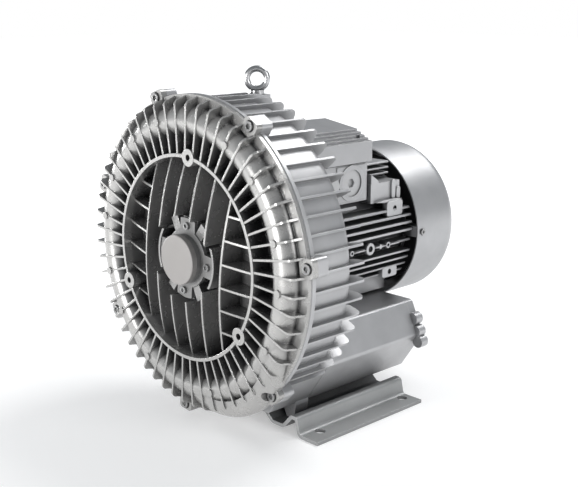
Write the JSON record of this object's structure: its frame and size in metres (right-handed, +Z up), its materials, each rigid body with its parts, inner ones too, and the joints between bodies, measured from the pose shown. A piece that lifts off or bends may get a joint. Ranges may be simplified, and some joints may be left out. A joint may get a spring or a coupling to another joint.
{
  "type": "side channel blower",
  "caption": "Side channel blower with a finned casing, a flanged motor with its terminal box, twin silencers with threaded ports and a pressed foot plate.",
  "frame": {"origin": "centre of the foot bolt pattern on the floor", "axes": "+Z up; the shaft lies along Y with the finned cover facing -Y and the fan cowl facing +Y; the side with the cable entries faces +X"},
  "size_m": [0.4444, 0.4519, 0.4874],
  "materials": {
    "casting": "satin silver-grey metallic paint on cast aluminium",
    "cowl": "satin silver-grey paint on drawn sheet steel",
    "foot": "satin grey paint on pressed steel plate",
    "zinc": "zinc-plated steel",
    "eye": "bright zinc-plated forged steel",
    "steel": "machined steel",
    "alloy": "machined cast aluminium",
    "core": "varnished electrical steel",
    "copper": "enamelled copper",
    "rubber": "black sealing rubber",
    "plastic": "black moulded plastic",
    "plug": "grey moulded plastic",
    "felt": "acoustic felt"
  },
  "bodies": {
    "root": {"front_cover": "casting", "bearing_carrier": "casting", "hub_cap": "casting", "carrier_screws": "zinc", "front_bearing": "steel", "front_shaft_seal": "rubber", "rear_housing": "casting", "casing_seal": "rubber", "clamp_washers": "zinc", "clamp_bolts": "zinc", "rear_shaft_seal": "rubber", "drive_bearing": "steel", "bearing_cover": "steel", "bearing_cover_screws": "zinc", "eyebolt": "eye", "foot_plate": "foot", "foot_screws": "zinc", "motor_frame": "casting", "motor_flange_screws": "zinc", "stator_core": "core", "stator_windings": "copper", "end_shield": "casting", "end_shield_screws": "zinc", "rear_bearing": "steel", "bearing_spring": "steel", "fan_cowl": "cowl", "cowl_screws": "zinc", "terminal_box": "casting", "terminal_box_gasket": "rubber", "terminal_box_lid": "casting", "lid_screws": "zinc", "terminal_block": "plastic", "cable_entry_plug": "plug", "small_entry_plug": "plug", "silencer_right": "casting", "silencer_cover_right": "casting", "silencer_gasket_right": "rubber", "silencer_absorber_right": "felt", "silencer_bolts_right": "zinc", "silencer_left": "casting", "silencer_cover_left": "casting", "silencer_gasket_left": "rubber", "silencer_absorber_left": "felt", "silencer_bolts_left": "zinc"},
    "rotor": {"shaft": "steel", "impeller_key": "steel", "impeller": "alloy", "impeller_nut": "zinc", "rotor_core": "core", "fan": "plastic", "fan_circlip": "steel"}
  },
  "joints": [
    {"name": "rotor_spin", "type": "hinge", "parent": "root", "child": "rotor", "pos_m": [0, 0, 0.24], "axis": [0, 1, 0], "continuous": true}
  ]
}
